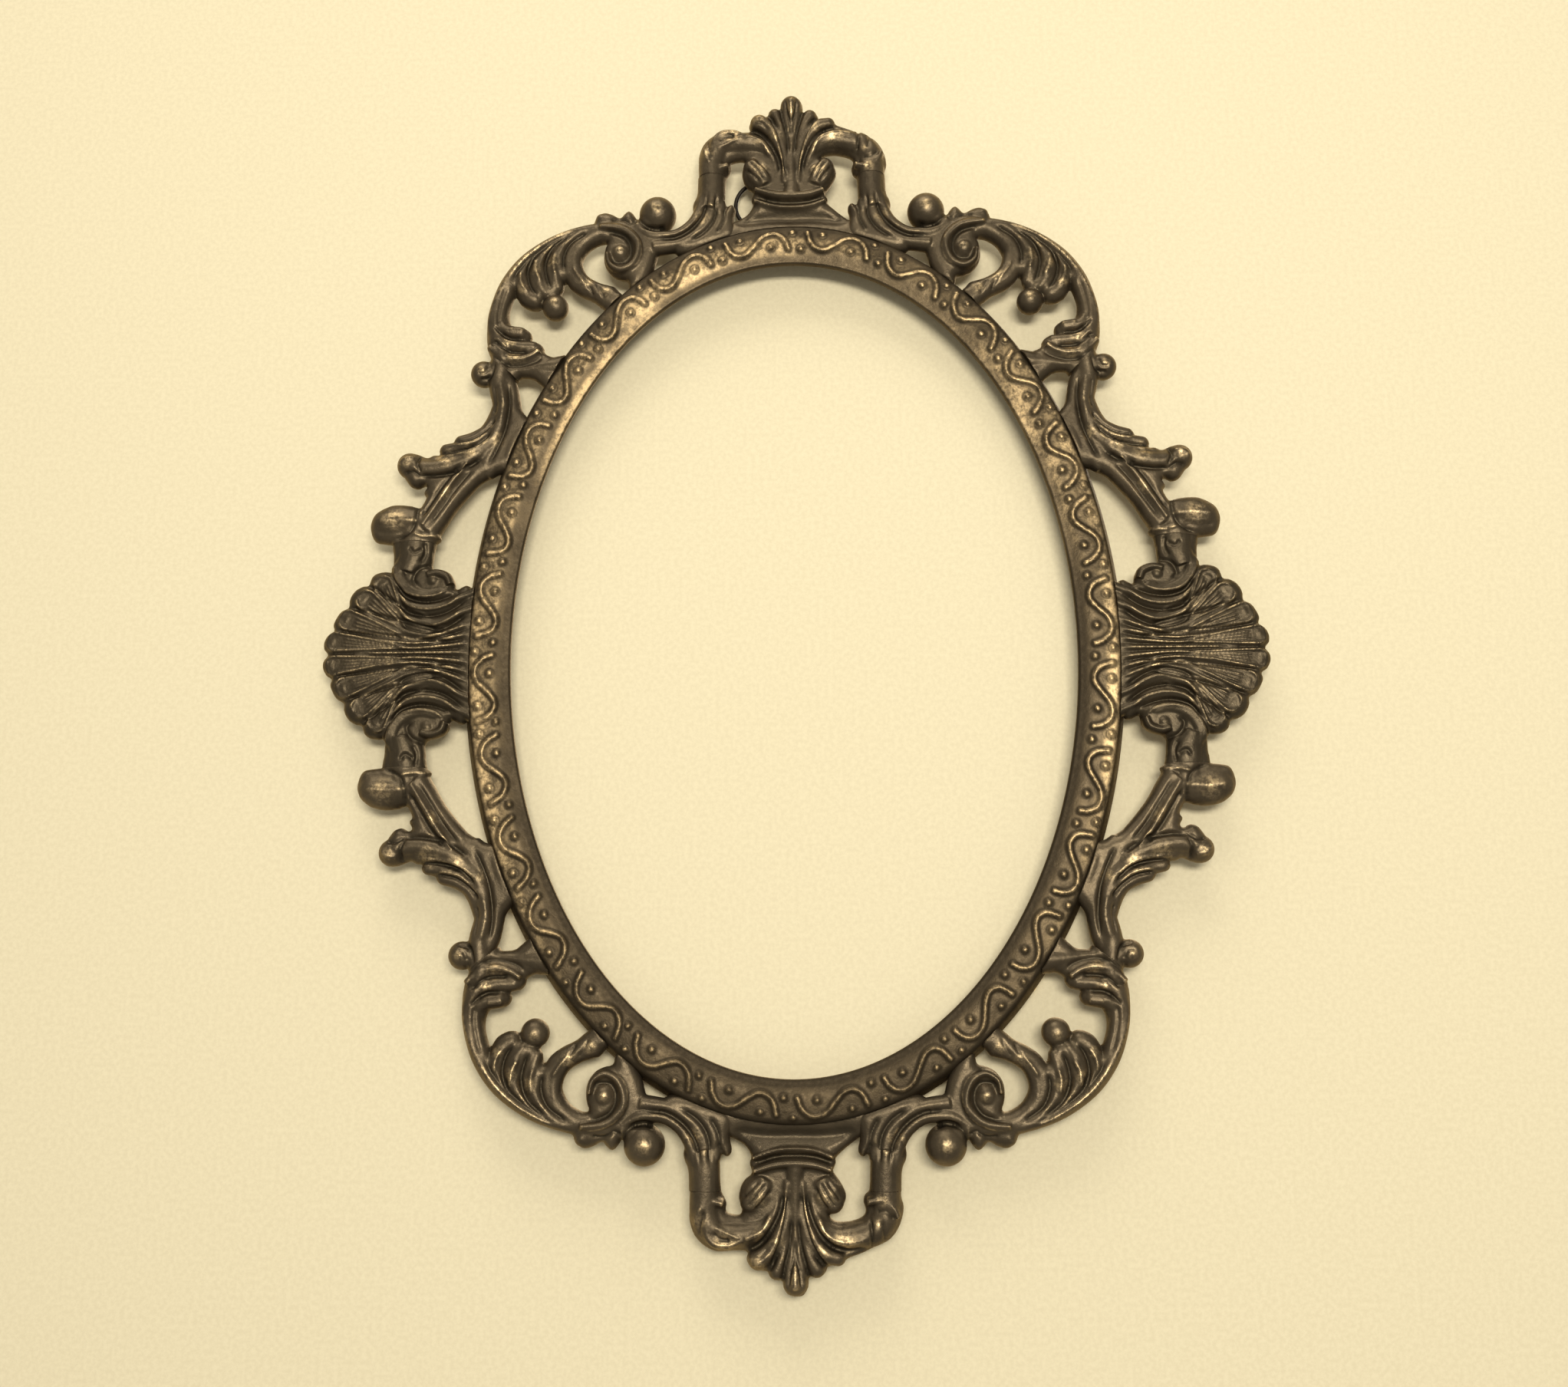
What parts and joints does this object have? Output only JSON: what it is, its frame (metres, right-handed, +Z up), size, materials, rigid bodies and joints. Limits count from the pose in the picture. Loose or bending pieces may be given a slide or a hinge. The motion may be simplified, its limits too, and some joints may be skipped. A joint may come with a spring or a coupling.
{
  "type": "oval picture frame",
  "caption": "Oval cast-metal picture frame with a wave-chased rim, scrolled corners, side shells and palmette crests; hangs by a wire loop and holds the picture with turn buttons.",
  "frame": {"origin": "centre of the oval in the plane of the rim's back, which lies against the wall", "axes": "+X to the viewer's right, +Z up as the frame hangs, -Y out of the wall towards the viewer"},
  "size_m": [0.1952, 0.0098, 0.253],
  "materials": {
    "rim_bronze": "dark patina, worn bright along the inner half",
    "cast_bronze": "dark brown patina with rubbed brass edges",
    "dark_wire": "blackened wire",
    "plain_brass": "dull brass sheet"
  },
  "bodies": {
    "frame": {"oval_rim": "rim_bronze", "crest_top": "cast_bronze", "crest_bottom": "cast_bronze", "corner_scroll_tr": "cast_bronze", "corner_scroll_tl": "cast_bronze", "corner_scroll_br": "cast_bronze", "corner_scroll_bl": "cast_bronze", "side_strap_tr": "cast_bronze", "side_strap_tl": "cast_bronze", "side_strap_br": "cast_bronze", "side_strap_bl": "cast_bronze", "shell_right": "cast_bronze", "shell_left": "cast_bronze", "loop_rivet": "plain_brass", "button_rivet_tr": "plain_brass", "button_rivet_tl": "plain_brass", "button_rivet_bl": "plain_brass", "button_rivet_br": "plain_brass"},
    "loop": {"hanging_loop": "dark_wire"},
    "button_tr": {"turn_button_tr": "plain_brass"},
    "button_tl": {"turn_button_tl": "plain_brass"},
    "button_bl": {"turn_button_bl": "plain_brass"},
    "button_br": {"turn_button_br": "plain_brass"}
  },
  "joints": [
    {"name": "loop_swing", "type": "hinge", "parent": "frame", "child": "loop", "pos_m": [0, -0.00035, 0.1014], "axis": [0, 1, 0], "range_deg": [0, 164]},
    {"name": "button_tr_turn", "type": "hinge", "parent": "frame", "child": "button_tr", "pos_m": [0.05221, 0.0005, 0.05766], "axis": [0, 1, 0], "range_deg": [0, 90]},
    {"name": "button_tl_turn", "type": "hinge", "parent": "frame", "child": "button_tl", "pos_m": [-0.05221, 0.0005, 0.05766], "axis": [0, 1, 0], "range_deg": [0, 90]},
    {"name": "button_bl_turn", "type": "hinge", "parent": "frame", "child": "button_bl", "pos_m": [-0.05221, 0.0005, -0.05766], "axis": [0, 1, 0], "range_deg": [0, 90]},
    {"name": "button_br_turn", "type": "hinge", "parent": "frame", "child": "button_br", "pos_m": [0.05221, 0.0005, -0.05766], "axis": [0, 1, 0], "range_deg": [0, 90]}
  ]
}
